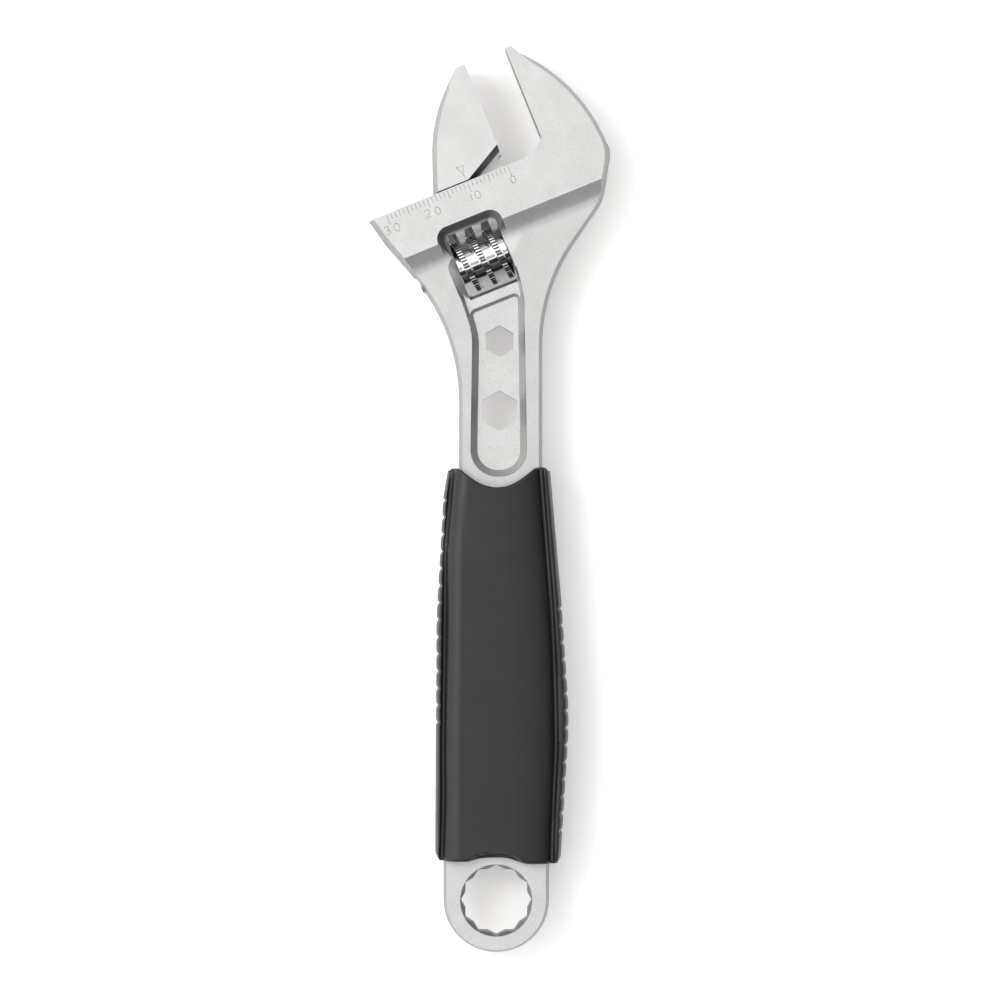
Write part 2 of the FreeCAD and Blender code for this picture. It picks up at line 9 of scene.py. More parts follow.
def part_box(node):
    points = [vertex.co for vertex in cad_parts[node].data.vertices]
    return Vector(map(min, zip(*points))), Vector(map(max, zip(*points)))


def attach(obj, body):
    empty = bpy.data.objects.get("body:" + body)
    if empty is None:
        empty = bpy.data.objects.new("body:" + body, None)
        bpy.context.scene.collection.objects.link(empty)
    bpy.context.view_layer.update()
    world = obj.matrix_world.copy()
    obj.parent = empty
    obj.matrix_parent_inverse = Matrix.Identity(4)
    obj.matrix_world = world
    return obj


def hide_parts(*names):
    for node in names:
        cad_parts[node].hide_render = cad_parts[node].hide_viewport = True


bl_info = {
    "name": "Adjustable Wrench",
    "version": (1, 0, 0),
    "blender": (4, 5, 0),
    "location": "View3D > Sidebar > Wrench",
    "description": "Finished surfaces of an adjustable wrench, built round its CAD bodies",
    "category": "Object",
}

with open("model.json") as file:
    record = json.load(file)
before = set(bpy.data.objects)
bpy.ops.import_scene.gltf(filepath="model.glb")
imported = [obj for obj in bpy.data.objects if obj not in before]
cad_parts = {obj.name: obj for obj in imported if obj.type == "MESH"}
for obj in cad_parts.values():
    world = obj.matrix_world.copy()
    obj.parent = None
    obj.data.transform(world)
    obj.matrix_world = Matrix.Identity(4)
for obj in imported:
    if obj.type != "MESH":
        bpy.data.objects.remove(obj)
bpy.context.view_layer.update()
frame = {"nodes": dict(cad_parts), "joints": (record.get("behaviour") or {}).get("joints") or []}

# Lengths below are millimetres in the wrench's frame: +Y towards the head, +Z up out of the flat side.
# Head points are (u, v): u along the jaw's rail towards the fixed jaw, v towards the jaw tips.
MM = 0.001
MIDDLE = 8.5                                        # height of the wrench's middle plane
SLIDE = next(joint for joint in frame["joints"] if joint["name"] == "jaw_slide")
RAIL = -Vector(SLIDE["axis"]).normalized()          # the u direction
HEAD = Matrix.Translation((12.97, 80.45, MIDDLE)) @ Matrix.Rotation(math.atan2(RAIL.y, RAIL.x), 4, "Z")
HEAD_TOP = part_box("wrench_body")[1].z / MM
JAW_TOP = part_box("movable_jaw")[1].z / MM
JAW_OPENING = 10.0                                  # gap between the jaws at rest
WORM_V = -17.85                                     # the worm's axis on the head
WINDOW = (-1.0, 62.3)                               # middle of the worm's window
WINDOW_U = -23.05                                   # the same along u
JAW_TIPS_V = 25.1
BORE_V = -16.0                                      # the rail's bore leaves the head above this v
BORE_REACH = 4.7                                    # and nearer than this to the middle plane
HANDLE_Y = -70.0                                    # below this is the ring end


def on_head(u, v):
    """A head point's X and Y."""
    point = HEAD @ Vector((u, v, 0))
    return point.x, point.y


# ------------------------------------------------------------------------------ sizes and colours
class WrenchSizes(bpy.types.PropertyGroup):
    """Sizes that the finished surfaces add to the CAD bodies."""
    side_draft: bpy.props.FloatProperty(
        name="Side draft", description="How far the forged sides lean in at the head's flat",
        default=1.2 * MM, min=0, precision=5, unit="LENGTH")
    edge_round: bpy.props.FloatProperty(
        name="Edge rounding", description="Width of the soft edge along the forging's corners",
        default=0.32 * MM, min=0, precision=5, unit="LENGTH")
    tick_width: bpy.props.FloatProperty(
        name="Scale line width", description="Width of the etched lines of the scale",
        default=0.13 * MM, min=0, precision=5, unit="LENGTH")
    digit_width: bpy.props.FloatProperty(
        name="Digit line width", description="Width of the strokes of the scale's digits",
        default=0.13 * MM, min=0, precision=5, unit="LENGTH")
    teeth_per_turn: bpy.props.IntProperty(
        name="Knurl teeth", description="Teeth in one turn of the worm's thread", default=52, min=8)
    tooth_size: bpy.props.FloatProperty(
        name="Knurl tooth", description="Width of one tooth on the worm's thread",
        default=0.35 * MM, min=0, precision=5, unit="LENGTH")
    rib_pitch: bpy.props.FloatProperty(
        name="Rib spacing", description="Distance between the grip's side ribs",
        default=3.93 * MM, min=0, precision=5, unit="LENGTH")
    rib_depth: bpy.props.FloatProperty(
        name="Rib depth", description="Depth of the notches between the grip's side ribs",
        default=0.55 * MM, min=0, precision=5, unit="LENGTH")
    crown: bpy.props.FloatProperty(
        name="Grip crown", description="Rise of the grip's broad face from its shoulders to its middle",
        default=0.45 * MM, min=0, precision=5, unit="LENGTH")


def colour(name, description, default):
    return bpy.props.FloatVectorProperty(name=name, description=description, subtype="COLOR",
                                         size=3, min=0, max=1, default=default)


class WrenchColours(bpy.types.PropertyGroup):
    """Colours of the finishes."""
    satin: colour("Satin chrome", "Blasted and chromed forging", (0.635, 0.63, 0.625))
    bright: colour("Bright chrome", "Polished worm", (0.82, 0.82, 0.83))
    steel: colour("Plain steel", "Worm pin and spring", (0.55, 0.54, 0.53))
    rubber: colour("Rubber", "Grip sleeve", (0.0115, 0.0095, 0.0098))
    mark: colour("Etched line", "Scale, digits and pointer", (0.26, 0.25, 0.24))
    floor: colour("Floor", "Studio floor", (0.92, 0.915, 0.91))


def sizes():
    return bpy.context.scene.wrench_sizes


def colours():
    return bpy.context.scene.wrench_colours


# ------------------------------------------------------------------------------ nodes
class Sock:
    """A node socket that takes part in arithmetic."""

    def __init__(self, tree, socket):
        self.tree = tree
        self.socket = socket

    def math(self, operation, *others):
        return self.tree.add("ShaderNodeMath", {"operation": operation}, [self, *others]).out()

    def __add__(self, other):
        return self.math("ADD", other)

    def __sub__(self, other):
        return self.math("SUBTRACT", other)

    def __rsub__(self, other):
        return self.tree.add("ShaderNodeMath", {"operation": "SUBTRACT"}, [other, self]).out()

    def __mul__(self, other):
        return self.math("MULTIPLY", other)

    def __truediv__(self, other):
        return self.math("DIVIDE", other)

    def __mod__(self, other):
        return self.math("MODULO", other)

    __radd__ = __add__
    __rmul__ = __mul__

    def smooth(self, low, high):
        """0 below low, 1 above high, with a soft step between."""
        return self.tree.add("ShaderNodeMapRange", {"interpolation_type": "SMOOTHSTEP"},
                             {"Value": self, "From Min": low, "From Max": high}).out()


class Made:
    """A node that was added to a tree."""

    def __init__(self, tree, node):
        self.tree = tree
        self.node = node

    def out(self, name=0):
        return Sock(self.tree, self.node.outputs[name])


class Tree:
    """A node tree that is filled by one method."""

    def __init__(self, tree):
        self.tree = tree

    def add(self, kind, settings=None, inputs=()):
        node = self.tree.nodes.new(kind)
        for name, value in (settings or {}).items():
            setattr(node, name, value)
        pairs = inputs.items() if isinstance(inputs, dict) else enumerate(inputs)
        for name, value in pairs:
            if isinstance(value, Sock):
                self.tree.links.new(value.socket, node.inputs[name])
            elif value is not None:
                node.inputs[name].default_value = value
        return Made(self, node)

    def noise(self, where, scale, detail=3.0, roughness=0.55):
        return self.add("ShaderNodeTexNoise", None, {
            "Vector": where, "Scale": scale, "Detail": detail, "Roughness": roughness}).out("Fac")

    def mix(self, amount, first, second):
        return self.add("ShaderNodeMix", {"data_type": "RGBA"}, {0: amount, 6: first, 7: second}).out(2)

    def vector_math(self, operation, first, second):
        return self.add("ShaderNodeVectorMath", {"operation": operation}, [first, second]).out()

    def dot(self, first, second):
        product = self.add("ShaderNodeVectorMath", {"operation": "DOT_PRODUCT"}, [first, tuple(second)])
        return product.out("Value")

    def split(self, vector):
        return self.add("ShaderNodeSeparateXYZ", None, [vector])

    def join(self, x=None, y=None, z=None):
        return self.add("ShaderNodeCombineXYZ", None, [x, y, z]).out()


def tinted(shade, factor):
    return (*(min(1.0, part * factor) for part in shade), 1.0)


def new_material(name):
    """An empty surface: its tree, the object's coordinates in millimetres, and its shader's inputs."""
    material = bpy.data.materials.new(name)
    material.use_nodes = True
    tree = Tree(material.node_tree)
    shader = material.node_tree.nodes["Principled BSDF"]
    place = tree.add("ShaderNodeTexCoord").out("Object")
    place = tree.vector_math("MULTIPLY", place, (1000.0, 1000.0, 1000.0))
    return material, tree, place, shader


def surface(tree, shader, base, roughness, bump, height, metallic, strength=1.0, **fixed):
    """Feeds the shader: colour, roughness and bump vary, the rest is set on its own sockets."""
    normal = tree.add("ShaderNodeBump", None,
                      {"Strength": strength, "Distance": height * MM, "Height": bump})
    for name, value in (("Base Color", base), ("Roughness", roughness), ("Normal", normal.out())):
        tree.tree.links.new(value.socket, shader.inputs[name])
    shader.inputs["Metallic"].default_value = metallic
    for name, value in fixed.items():
        shader.inputs[name.replace("_", " ")].default_value = value


def from_window(parts):
    """Distance in plan from the middle of the worm's window."""
    off_x, off_y = parts.out("X") - WINDOW[0], parts.out("Y") - WINDOW[1]
    return (off_x * off_x + off_y * off_y).math("SQRT")


def satin_chrome():
    """Blasted forging under chrome: fine grain on the flats, rough skin in the handle's recess.

    Painted shade darkens the sloping sides, the flats and slopes of the handle's narrow part below the head
    and the sloped frame round the worm's window, and a painted highlight lightens the rack.
    """
    material, tree, place, shader = new_material("satin_chrome_finish")
    parts = tree.split(place)
    height = (parts.out("Z") - MIDDLE).math("ABSOLUTE")
    distance = from_window(parts)
    up = tree.split(tree.add("ShaderNodeNewGeometry").out("Normal")).out("Z").math("ABSOLUTE")
    sunk = 1.0 - height.smooth(4.0, 4.35)
    # the rack's region: it gets a painted highlight below and is kept out of the painted side shade
    rack = (1.0 - distance.smooth(7.5, 9.0)) * (1.0 - height.smooth(4.6, 5.0))
    # painted shade: surfaces that face sideways rather than up are painted darker, except on the rack
    painted_side_shade = (1.0 - up.smooth(0.4, 0.86)) * (1.0 - rack)
    # painted shade: flats and slopes at the height of the handle's narrow part below the head are painted a
    # little darker
    painted_neck_shade = height.smooth(4.4, 4.7) * (1.0 - height.smooth(4.9, 6.3))
    along = tree.dot(place, RAIL) - (RAIL.dot(HEAD.translation) + WINDOW_U)
    # painted shade: the sloped frame round the worm's window is painted dark
    painted_frame_shade = ((1.0 - along.math("ABSOLUTE").smooth(7.6, 7.9)) * (1.0 - distance.smooth(11.5, 12.5))
             * height.smooth(4.9, 5.2) * (1.0 - up.smooth(0.88, 0.97)))
    grain = tree.noise(place, 3.8, 4.0, 0.75)
    pits = tree.noise(place, 1.7, 5.0, 0.62)
    cloud = tree.noise(place, 0.16, 3.0)
    shade = cloud.smooth(0.35, 0.65) * 0.3 + grain.smooth(0.38, 0.62) * 0.7
    tone = colours().satin
    base = tree.mix(shade, tinted(tone, 0.9), tinted(tone, 1.08))
    base = tree.mix(sunk * pits.smooth(0.55, 0.7) * 0.35, base, tinted(tone, 0.75))
    # painted shade on the sideways surfaces and on the handle's narrow part below the head
    base = tree.mix(painted_side_shade * 0.85 + painted_neck_shade * 0.15, base, tinted(tone, 0.5))
    # painted shade on the sloped frame round the worm's window
    base = tree.mix(painted_frame_shade * 0.85, base, tinted(tone, 0.22))
    # painted highlight on the rack
    base = tree.mix(rack * 0.7, base, tinted(tone, 1.3))
    roughness = 0.37 + cloud * 0.07 + grain * 0.06 + sunk * (0.05 + pits * 0.12)
    bump = grain * (1.0 - sunk) * 0.6 + sunk * (pits * 2.4 + grain)
    surface(tree, shader, base, roughness, bump, 0.035, 1.0, 0.55)
    return material


def bright_chrome():
    """Polished chrome with a faint haze; painted shade darkens the thread's crest between the knurl's teeth
    and the half of the worm's root that faces away from the jaw tips.
    """
    material, tree, place, shader = new_material("bright_chrome_finish")
    haze = tree.noise(place, 0.9, 4.0)
    fine = tree.noise(place, 8.0, 2.0)
    tone = colours().bright
    base = tree.mix(haze, tinted(tone, 0.96), tinted(tone, 1.04))
    across = Vector((-RAIL.y, RAIL.x, 0))
    middle = Vector((*on_head(0, WORM_V), MIDDLE))
    offset = tree.vector_math("SUBTRACT", place, tuple(middle))
    beside = tree.dot(offset, across)
    above = tree.split(offset).out("Z")
    radius = (beside * beside + above * above).math("SQRT")
    normal = tree.add("ShaderNodeNewGeometry").out("Normal")
    # painted shade: the side of the worm's root that faces away from the jaw tips
    painted_shade_side = tree.dot(normal, -across).smooth(0.12, 0.45)
    painted_core_shade = 1.0 - radius.smooth(4.9, 5.2)
    # painted shade: the thread's crest between the knurl's teeth
    gap = radius.smooth(5.5, 5.8) * (1.0 - radius.smooth(6.0, 6.12))
    # painted shade on that side of the root and on the crest between the knurl's teeth
    base = tree.mix(painted_core_shade * painted_shade_side * 0.8 + gap * 0.9, base, tinted(tone, 0.08))
    surface(tree, shader, base, 0.05 + haze.smooth(0.4, 0.8) * 0.09, haze * 0.5 + fine * 0.2, 0.03, 1.0, 0.3)
    return material


def turned_steel(name, pitch):
    """Lathe-turned steel: faint rings along the rail's direction."""
    material, tree, place, shader = new_material(name)
    rings = (tree.dot(place, RAIL) * (2 * math.pi / pitch)).math("SINE") * 0.5 + 0.5
    wear = tree.noise(place, 1.3, 4.0)
    tone = colours().steel
    base = tree.mix(wear, tinted(tone, 0.8), tinted(tone, 1.15))
    surface(tree, shader, base, 0.24 + wear * 0.16 + rings * 0.05, rings + wear, 0.012, 1.0, 0.5)
    return material


def grip_rubber():
    """Moulded rubber: a satin skin with fine grain and faint rub marks."""
    material, tree, place, shader = new_material("grip_rubber_finish")
    grain = tree.noise(place, 4.2, 4.0, 0.7)
    cloud = tree.noise(place, 0.12, 4.0, 0.6)
    rubbed = tree.noise(tree.vector_math("MULTIPLY", place, (0.6, 0.16, 0.6)), 1.0, 5.0, 0.65)
    tone = colours().rubber
    base = tree.mix((cloud * 0.6 + grain * 0.4).smooth(0.3, 0.7), tinted(tone, 0.78), tinted(tone, 1.18))
    roughness = 0.36 + cloud * 0.10 + rubbed.smooth(0.45, 0.7) * 0.08
    surface(tree, shader, base, roughness, grain + rubbed * 0.8, 0.03, 0.0, 0.5, Specular_IOR_Level=0.52)
    return material


def etched_mark():
    """Etched and darkened line, uneven along its length."""
    material, tree, place, shader = new_material("etched_mark")
    patch = tree.noise(place, 2.2, 3.0)
    tone = colours().mark
    base = tree.mix(patch.smooth(0.3, 0.7), tinted(tone, 0.75), tinted(tone, 1.35))
    surface(tree, shader, base, 0.5 + patch * 0.2, patch, 0.01, 0.35, 0.4)
    return material


SHADE_MIDDLE = 4.0                                  # X of the floor's shaded middle, under the wrench
SHADE_HALF = (5.0, 94.0)


def floor_paper():
    """Pale paper that gives off light by itself as painted light, turned down under the wrench and off under
    the worm's window as painted shadow.
    """
    material, tree, place, shader = new_material("floor_paper")
    fibre = tree.noise(place, 0.8, 3.0)
    tone = colours().floor
    base = tree.mix(fibre, tinted(tone, 0.995), tinted(tone, 1.005))
    parts = tree.split(place)
    # painted shadow: the floor's emitted light is lower under the wrench
    aside = (parts.out("X") - SHADE_MIDDLE).math("ABSOLUTE") - SHADE_HALF[0]
    beyond = parts.out("Y").math("ABSOLUTE") - SHADE_HALF[1]
    open_floor = aside.math("MAXIMUM", beyond).smooth(0.0, 13.0)
    # painted shadow: the floor's emitted light is off under the worm's window
    painted_window_shadow = 1.0 - from_window(parts).smooth(8.0, 12.0)
    glow_with_painted_shadow = (open_floor * 0.2 + 0.8) * (1.0 - painted_window_shadow)
    # painted light: the floor's own warm emitted light, with the painted shadow in it
    glow_with_painted_shadow = tree.mix(glow_with_painted_shadow, (0.0, 0.0, 0.0, 1.0), (1.0, 0.985, 0.975, 1.0))
    tree.tree.links.new(glow_with_painted_shadow.socket, shader.inputs["Emission Color"])
    surface(tree, shader, base, 0.85 + fibre * 0.05, fibre, 0.01, 0.0, 0.1, Emission_Strength=0.32)
    return material


FINISHES = {"satin_chrome": satin_chrome, "bright_chrome": bright_chrome, "grip_rubber": grip_rubber,
            "etched_mark": etched_mark, "floor_paper": floor_paper,
            "pin_steel": lambda: turned_steel("pin_steel_finish", 0.22),
            "spring_steel": lambda: turned_steel("spring_steel_finish", 0.35)}
made_finishes = {}


def finish(name):
    """The material of that finish, made once."""
    if name not in made_finishes:
        made_finishes[name] = FINISHES[name]()
    return made_finishes[name]


# ------------------------------------------------------------------------------ meshes
def new_piece(name, mesh, material):
    piece = bpy.data.objects.new(name, mesh)
    bpy.context.scene.collection.objects.link(piece)
    mesh.materials.clear()
    mesh.materials.append(finish(material))
    return piece


def settled(piece):
    """Turns a piece's modifiers into its plain mesh."""
    graph = bpy.context.evaluated_depsgraph_get()
    mesh = bpy.data.meshes.new_from_object(piece.evaluated_get(graph), depsgraph=graph)
    piece.modifiers.clear()
    piece.data = mesh
    return piece


def smooth_by_angle(mesh, degrees):
    mesh.polygons.foreach_set("use_smooth", [True] * len(mesh.polygons))
    mesh.set_sharp_from_angle(angle=math.radians(degrees))


def keep(piece, body, slot, *nodes):
    """Sets a finished piece on its body, in place of the CAD nodes that it stands for. The slot is not used.
    """
    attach(piece, body)
    if nodes:
        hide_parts(*nodes)


def rounded(corners, step=math.radians(5)):
    """Points along a closed outline through (x, y, radius) corners."""
    points = []
    for i, (x, y, radius) in enumerate(corners):
        corner = Vector((x, y))
        back = (Vector(corners[i - 1][:2]) - corner).normalized()
        ahead = (Vector(corners[(i + 1) % len(corners)][:2]) - corner).normalized()
        if radius == 0:
            points.append(corner)
            continue
        half = back.angle(ahead) / 2
        first = back * (radius / math.tan(half))
        centre = (back + ahead).normalized() * (radius / math.sin(half))
        turn = (math.pi - 2 * half) * (1 if back.cross(ahead) < 0 else -1)
        count = max(2, math.ceil(abs(turn) / step))
        points += [corner + centre + Matrix.Rotation(turn * k / count, 2) @ (first - centre)
                   for k in range(count + 1)]
    return points


def crossing(line, y, side):
    """The outline's X at a height Y: its leftmost (side -1) or rightmost (side 1) crossing."""
    found = []
    for a, b in zip(line, line[1:] + line[:1]):
        if a.y != b.y and min(a.y, b.y) <= y <= max(a.y, b.y):
            found.append(a.x + (b.x - a.x) * (y - a.y) / (b.y - a.y))
    return side * max(side * x for x in found)


def through(points, x):
    """A smooth curve through (x, y) points, level at its two ends."""
    if x <= points[0][0]:
        return points[0][1]
    if x >= points[-1][0]:
        return points[-1][1]
    i = next(k for k in range(len(points) - 1) if x <= points[k + 1][0])
    (x0, y0), (x1, y1) = points[i], points[i + 1]

    def slope(k):
        if k in (0, len(points) - 1):
            return 0.0
        return (points[k + 1][1] - points[k - 1][1]) / (points[k + 1][0] - points[k - 1][0])

    run = x1 - x0
    t = (x - x0) / run
    return (y0 * (1 + 2 * t) * (1 - t) ** 2 + slope(i) * run * t * (1 - t) ** 2
            + y1 * t * t * (3 - 2 * t) + slope(i + 1) * run * t * t * (t - 1))


def soft_step(value):
    value = min(1.0, max(0.0, value))
    return value * value * (3 - 2 * value)


# The forging's outline, anticlockwise from the fixed jaw's tip.
FORGING = rounded([
    (*on_head(-1, JAW_TIPS_V), 0), (*on_head(-1, 2), 0), (*on_head(-43.9, 2), 0), (*on_head(-43.9, 0), 0),
    (*on_head(-42.4, -6), 25), (-7.06, 39.1, 44), (-7.06, -6, 60), (-10.63, -78, 40),
    (-10.63, -103.95, 12.05), (13.67, -103.95, 12.05), (13.67, -78, 40), (12.12, -6, 60),
    (12.12, 48.5, 42), (*on_head(7.9, -15.6), 10), (*on_head(13.8, -5.7), 7),
    (*on_head(13.2, 11.1), 39), (*on_head(1.3, JAW_TIPS_V), 0.8)], math.radians(2))
JAW_BACK = rounded([(*on_head(u - JAW_OPENING, v), radius) for u, v, radius in (
    (0, JAW_TIPS_V, 0), (-2.4, JAW_TIPS_V, 0.8), (-11.6, 17.2, 36), (-17.9, 0.3, 0), (0, 0.3, 0))],
    math.radians(2))


def welded(node):
    """A CAD node's mesh in millimetres, its triangles joined up and its flat faces whole."""
    source = frame["nodes"][node].data
    mesh = bpy.data.meshes.new(node + "_surface")
    mesh.from_pydata([vert.co / MM for vert in source.vertices], [],
                     [face.vertices[:] for face in source.polygons])
    edit = bmesh.new()
    edit.from_mesh(mesh)
    bmesh.ops.remove_doubles(edit, verts=edit.verts, dist=0.002)
    bmesh.ops.dissolve_limit(edit, angle_limit=math.radians(0.6), verts=edit.verts, edges=edit.edges)
    return mesh, edit


ON_SIDE = 0.08           # how near the outline a vertex of the sides lies
TIP_BLEND = 5.5          # the draft fades out over this much below the jaw tips
LEAST_LEAN = 0.62        # keeps the lean finite where the outline runs along the rail


def lean_sides(edit, line, skip):
    """Leans the forged sides in, from the parting line at mid-thickness to both flats."""
    everything = edit.verts[:] + edit.edges[:] + edit.faces[:]
    bmesh.ops.bisect_plane(edit, geom=everything, dist=1e-5,
                           plane_co=(0, 0, MIDDLE), plane_no=(0, 0, 1))
    draft = sizes().side_draft / MM / (HEAD_TOP - MIDDLE)
    to_head = HEAD.inverted()
    sides = [(a, b, (b - a).normalized()) for i, (a, b) in enumerate(zip(line, line[1:])) if i not in skip
             and (b - a).length > 1e-6]
    for vert in edit.verts:
        place = vert.co.xy
        best = None
        for a, b, ahead in sides:
            run = (place - a).dot(ahead)
            run = min(max(run, 0.0), (b - a).length)
            distance = (place - a - ahead * run).length
            if best is None or distance < best[0]:
                best = (distance, ahead)
        if best[0] > ON_SIDE:
            continue
        inward = Vector((-best[1].y, best[1].x))
        _, v, z = to_head @ vert.co
        if v > BORE_V and abs(z) < BORE_REACH:
            continue
        reach = draft * abs(vert.co.z - MIDDLE) * soft_step((JAW_TIPS_V - v) / TIP_BLEND)
        if place.y > HANDLE_Y:                      # along the rail, so the sweeps keep their level
            lean = inward.dot(RAIL.xy)
            vert.co.xy += RAIL.xy * (reach / math.copysign(max(abs(lean), LEAST_LEAN), lean))
        else:
            vert.co.xy += inward * reach


def forged(node, line, skip, width):
    """A CAD node's forged surface: drafted sides and soft edges."""
    mesh, edit = welded(node)
    lean_sides(edit, line, skip)
    bmesh.ops.triangulate(edit, faces=[face for face in edit.faces if len(face.verts) > 4])
    bmesh.ops.scale(edit, vec=(MM, MM, MM), verts=edit.verts)
    edit.to_mesh(mesh)
    edit.free()
    piece = new_piece(node + "_forged", mesh, "satin_chrome")
    soft = piece.modifiers.new("Soft edges", "BEVEL")
    soft.width = width
    soft.segments = 2
    soft.limit_method = "ANGLE"
    soft.angle_limit = math.radians(28)
    soft.use_clamp_overlap = True
    settled(piece)
    smooth_by_angle(piece.data, 40)
    level = piece.modifiers.new("Flat faces", "WEIGHTED_NORMAL")
    level.keep_sharp = True
    level.weight = 100
    return settled(piece)


class MakeWrenchBody(bpy.types.Operator):
    """Makes the forged wrench body with drafted sides and soft edges"""
    bl_idname = "wrench.make_body"
    bl_label = "Wrench body"

    def execute(self, context):
        piece = forged("wrench_body", FORGING, {0, 1, 2}, sizes().edge_round)
        keep(piece, "wrench", "satin_chrome", "wrench_body")
        return {"FINISHED"}


class MakeMovableJaw(bpy.types.Operator):
    """Makes the movable jaw with its rail and rack"""
    bl_idname = "wrench.make_jaw"
    bl_label = "Movable jaw"

    def execute(self, context):
        piece = forged("movable_jaw", JAW_BACK[:-1], set(), sizes().edge_round * 0.6)
        keep(piece, "jaw", "satin_chrome", "movable_jaw")
        return {"FINISHED"}


# ------------------------------------------------------------------------------ geometry nodes
def geometry_tree(name, sockets):
    """An empty geometry tree with named inputs; returns the tree and its inputs by name."""
    group = bpy.data.node_groups.new(name, "GeometryNodeTree")
    group.interface.new_socket("Geometry", in_out="INPUT", socket_type="NodeSocketGeometry")
    for socket, kind in sockets.items():
        group.interface.new_socket(socket, in_out="INPUT", socket_type="NodeSocket" + kind)
    group.interface.new_socket("Geometry", in_out="OUTPUT", socket_type="NodeSocketGeometry")
    tree = Tree(group)
    entry = tree.add("NodeGroupInput")
    return tree, {socket: entry.out(socket) for socket in ("Geometry", *sockets)}


def close_tree(tree, geometry, material):
    """Ends a geometry tree in Realize Instances and Set Material."""
    whole = tree.add("GeometryNodeRealizeInstances", None, [geometry]).out()
    painted = tree.add("GeometryNodeSetMaterial", None, {"Geometry": whole, "Material": material}).out()
    tree.add("NodeGroupOutput", None, [painted])
    return tree.tree


def grown(piece, group, values):
    """Runs a geometry tree on a piece with those input values and keeps the plain mesh."""
    modifier = piece.modifiers.new("Growth", "NODES")
    modifier.node_group = group
    for item in group.interface.items_tree:
        if item.in_out == "INPUT" and item.name in values:
            modifier[item.identifier] = values[item.name]
    return settled(piece)


def tick_tree():
    """Scale lines in a row along -X, hanging from Y = 0: short ones, fives and tens."""
    tree, given = geometry_tree("scale_lines", {
        "Count": "Int", "Spacing": "Float", "Width": "Float", "Depth": "Float",
        "Short": "Float", "Five": "Float", "Ten": "Float", "Material": "Material"})
    index = tree.add("GeometryNodeInputIndex").out()
    is_five = 1.0 - (index % 5.0).math("GREATER_THAN", 0.5)
    is_ten = 1.0 - (index % 10.0).math("GREATER_THAN", 0.5)
    length = (given["Short"] + is_five * (given["Five"] - given["Short"])
              + is_ten * (given["Ten"] - given["Five"]))
    step = tree.join(given["Spacing"] * -1.0)
    row = tree.add("GeometryNodeMeshLine", {"mode": "OFFSET"},
                   {"Count": given["Count"], "Offset": step}).out()
    drop = tree.join(None, length * -0.5)
    row = tree.add("GeometryNodeSetPosition", None, {"Geometry": row, "Offset": drop}).out()
    bar = tree.add("GeometryNodeMeshCube").out()
    size = tree.join(given["Width"], length, given["Depth"])
    bars = tree.add("GeometryNodeInstanceOnPoints", None,
                    {"Points": row, "Instance": bar, "Scale": size}).out()
    return close_tree(tree, bars, given["Material"])


def stroke_tree():
    """Flat strokes of one width along the edges of the mesh."""
    tree, given = geometry_tree("etched_strokes", {
        "Width": "Float", "Depth": "Float", "Material": "Material"})
    line = tree.add("GeometryNodeMeshToCurve", None, [given["Geometry"]]).out()
    nib = tree.add("GeometryNodeCurvePrimitiveQuadrilateral", None,
                   {"Width": given["Width"], "Height": given["Depth"]}).out()
    stroke = tree.add("GeometryNodeCurveToMesh", None,
                      {"Curve": line, "Profile Curve": nib, "Fill Caps": True}).out()
    return close_tree(tree, stroke, given["Material"])


def knurl_tree():
    """Square teeth along a right-handed helix about X."""
    tree, given = geometry_tree("thread_knurl", {
        "Count": "Int", "Per Turn": "Float", "Lead": "Float", "Start": "Float", "First Angle": "Float",
        "Radius": "Float", "Tooth": "Float", "Height": "Float", "Length": "Float", "Material": "Material"})
    index = tree.add("GeometryNodeInputIndex").out()
    turns = index / given["Per Turn"]
    angle = turns * (2 * math.pi) + given["First Angle"]
    place = tree.join(given["Start"] + turns * given["Lead"],
                      angle.math("COSINE") * given["Radius"], angle.math("SINE") * given["Radius"])
    points = tree.add("GeometryNodeMeshLine", None, {"Count": given["Count"]}).out()
    points = tree.add("GeometryNodeSetPosition", None, {"Geometry": points, "Position": place}).out()
    size = tree.join(given["Length"], given["Height"], given["Tooth"])
    bar = tree.add("GeometryNodeMeshCube", None, {"Size": size}).out()
    turn = tree.join(angle)
    teeth = tree.add("GeometryNodeInstanceOnPoints", None,
                     {"Points": points, "Instance": bar, "Rotation": turn}).out()
    return close_tree(tree, teeth, given["Material"])


# ------------------------------------------------------------------------------ scale, digits, pointer
MARK_DEPTH = 0.02
TICK_TOP = -0.25                                    # v of the lines' upper ends
FIRST_TICK = -9.6                                   # u of the zero line
TICK_LENGTHS = {"Short": 1.3 * MM, "Five": 1.9 * MM, "Ten": 2.4 * MM}
DIGIT_PLACES = (("3", -40.7, -3.65, 1.9), ("0", -38.4, -3.75, 1.9), ("2", -30.7, -3.5, 1.8),
                ("0", -28.3, -3.7, 1.8), ("1", -20.0, -3.75, 1.5), ("0", -18.45, -3.75, 1.8),
                ("0", -9.6, -3.6, 1.7))             # digit, u, v and height


def arc(cx, cy, rx, ry, start, end, count=14):
    angles = [math.radians(start + (end - start) * k / count) for k in range(count + 1)]
    return [(cx + rx * math.cos(angle), cy + ry * math.sin(angle)) for angle in angles]


# digits as strokes in a box 1 wide and 1.5 high, centred on the origin
DIGIT_BOX = 1.5
DIGITS = {
    "0": [arc(0, 0, 0.5, 0.72, 90, 450, 24)],
    "1": [[(0, 0.75), (0, -0.75)]],
    "2": [arc(0, 0.33, 0.46, 0.42, 165, -35) + [(-0.48, -0.75), (0.5, -0.75)]],
    "3": [arc(-0.04, 0.37, 0.42, 0.38, 150, -90) + arc(-0.04, -0.38, 0.48, 0.38, 90, -150)],
}


